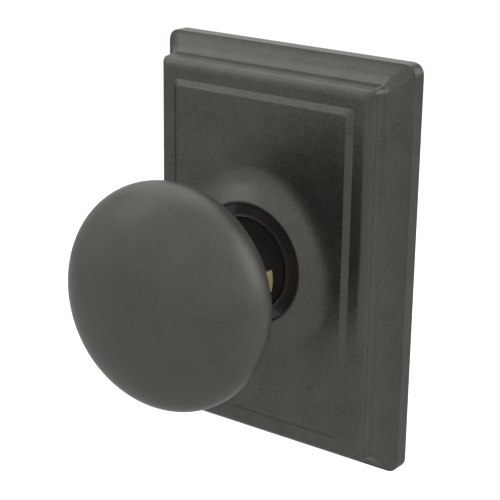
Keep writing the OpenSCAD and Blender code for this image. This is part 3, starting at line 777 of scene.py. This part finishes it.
def post(name, x):
    """Riveted post with a blind threaded hole, whose thread is a true helix."""
    end, body_r, mouth_r = -22, 4, 2.7
    flange_r, flange_rear = 5, -1.2
    bore, pitch, depth, rows_per_turn = 2.1, 0.8, 0.22, 8
    thread_start, thread_length = end + 0.6, 19

    def thread(level):
        def radius(angle):
            phase = (level / pitch + angle / (2 * math.pi)) % 1
            return bore + depth * abs(2 * phase - 1)
        return radius

    outside = rounded_path([
        (1, PLATE_FRONT, 0), (RIVET_R, PLATE_FRONT, 0.3), (RIVET_R, PLATE_BACK, 0),
        (flange_r, PLATE_BACK, 0.1), (flange_r, flange_rear, 0.3), (body_r, flange_rear, 0.15),
        (body_r, end + 0.5, 0.1), (body_r - 0.5, end, 0.1), (mouth_r, end, 0.1),
        (bore + 0.05, thread_start - 0.05, 0)], 3)
    rows = round(thread_length / pitch) * rows_per_turn
    levels = [thread_start + i * pitch / rows_per_turn for i in range(rows + 1)]
    inside = [(thread(level), level) for level in levels]
    inside += [(bore, flange_rear - 1), (0.4, flange_rear)]
    return revolve(name, outside + inside, 48, loop=False, crease=45, axis_at=(x, 0))


def cross(a, b, turn, centre):
    """Outline of a cross whose arms reach a from its centre and b to each side, turned in degrees."""
    outline = [(a, -b), (a, b), (b, b), (b, a), (-b, a), (-b, b), (-a, b), (-a, -b), (-b, -b), (-b, -a),
               (b, -a), (b, -b)]
    c, s = math.cos(math.radians(turn)), math.sin(math.radians(turn))
    return [(centre[0] + x * c - z * s, centre[1] + x * s + z * c) for x, z in outline]


def plate_screw(name, spot, turn):
    """Countersunk screw with a cross recess that narrows inwards."""
    head, head_r, stem_r, tip, tip_r = PLATE_BACK + 0.04, 2.78, 1.25, 8.4, 0.9
    outline = rounded_path([(0.5, head, 0), (head_r, head, 0.08), (stem_r, PLATE_FRONT, 0.3),
                            (stem_r, tip - 0.4, 0.1), (tip_r, tip, 0)], 3)
    screw = revolve(name, outline, 48, loop=False, axis_at=spot)
    recess = ((1.75, 0.36, 0.2), (1.5, 0.34, 0.45), (0.75, 0.25, 1.7))
    layers = [(cross(arm, width, turn, spot), level) for arm, width, level in recess]
    return soften(cut(screw, prism("recess", *layers)), 0.05)


place(soften(plate(), 0.16), "plate", STEEL, "plated_steel", "mounting_plate")
place(bearing(), "plate", BRONZE, "bearing_bronze", "plate_bushing")
place(post("threaded_post_left", -POST_X), "plate", POST, "post_steel", "post_left")
place(post("threaded_post_right", POST_X), "plate", POST, "post_steel", "post_right")

# The first screw piece stands for the CAD node that holds all four
SCREWS = ((-SCREW_X, SCREW_Z, 12), (SCREW_X, SCREW_Z, 57), (SCREW_X, -SCREW_Z, 80), (-SCREW_X, -SCREW_Z, 31))
for number, (x, z, turn) in enumerate(SCREWS, 1):
    replaced = ["plate_screws"] if number == 1 else []
    place(plate_screw(f"plate_screw_{number}", (x, z), turn), "plate", SCREW, "screw_steel", *replaced)


# ------------------------------------------------------------------ stage, light and camera

def area_light(name, spot, size, power):
    """A square light aimed at the middle of the part."""
    data = bpy.data.lights.new(name, "AREA")
    data.shape = "RECTANGLE"
    data.size = data.size_y = size
    data.energy = power
    lamp = bpy.data.objects.new(name, data)
    lamp.location = spot
    aim = (cad_box[0] + cad_box[1]) / 2
    lamp.rotation_euler = (aim - Vector(spot)).to_track_quat("-Z", "Y").to_euler()
    scene.collection.objects.link(lamp)


FLOOR_Z, FLOOR_REACH, FLOOR_SHADE = -0.30, 6, 0.62
floor = new_object("floor", [(x * FLOOR_REACH, y * FLOOR_REACH, FLOOR_Z)
                             for x, y in ((-1, -1), (1, -1), (1, 1), (-1, 1))], [(0, 1, 2, 3)], smooth=False)
pale = bpy.data.materials.new("pale floor")
pale.use_nodes = True
pale_shader = pale.node_tree.nodes["Principled BSDF"]
pale_shader.inputs["Base Color"].default_value = (FLOOR_SHADE, FLOOR_SHADE, FLOOR_SHADE, 1)
pale_shader.inputs["Roughness"].default_value = 0.9
floor.data.materials.append(pale)

world = bpy.data.worlds.new("studio")
scene.world = world
world.use_nodes = True
background = world.node_tree.nodes["Background"]
background.inputs["Color"].default_value = (1, 1, 1, 1)
background.inputs["Strength"].default_value = 1.6

area_light("overhead", (-0.5, 0.55, 0.85), 1.2, 8)
area_light("front", (-0.82, -0.36, 0.76), 0.7, 2.1)
area_light("side", (0.85, 0.75, 0.5), 0.9, 7)

# The camera was solved from the photo's perspective: angles in degrees, its place in mm
AZIMUTH, ELEVATION, ROLL = map(math.radians, (36.5372, 18.4869, 0.7654))
CAMERA_PLACE = Vector((224.994, -323.534, 129.650)) * MM
SENSOR_W, LENS = 36, 112.3992
SHIFT_X, SHIFT_Y = 0.007244, 0.00332

back = Vector((math.sin(AZIMUTH) * math.cos(ELEVATION), -math.cos(AZIMUTH) * math.cos(ELEVATION),
               math.sin(ELEVATION)))
level_right = (-back).cross(Vector((0, 0, 1))).normalized()
level_up = level_right.cross(-back)
right = math.cos(ROLL) * level_right + math.sin(ROLL) * level_up
up = math.cos(ROLL) * level_up - math.sin(ROLL) * level_right

camera_data = bpy.data.cameras.new("camera")
camera_data.sensor_width = SENSOR_W
camera_data.lens = LENS
camera_data.shift_x = SHIFT_X
camera_data.shift_y = SHIFT_Y
camera_data.clip_start = 0.01
camera_data.clip_end = 50
camera = bpy.data.objects.new("camera", camera_data)
camera.matrix_world = Matrix.Translation(CAMERA_PLACE) @ Matrix((right, up, back)).transposed().to_4x4()
scene.collection.objects.link(camera)
scene.camera = camera
scene.view_settings.view_transform = "Standard"
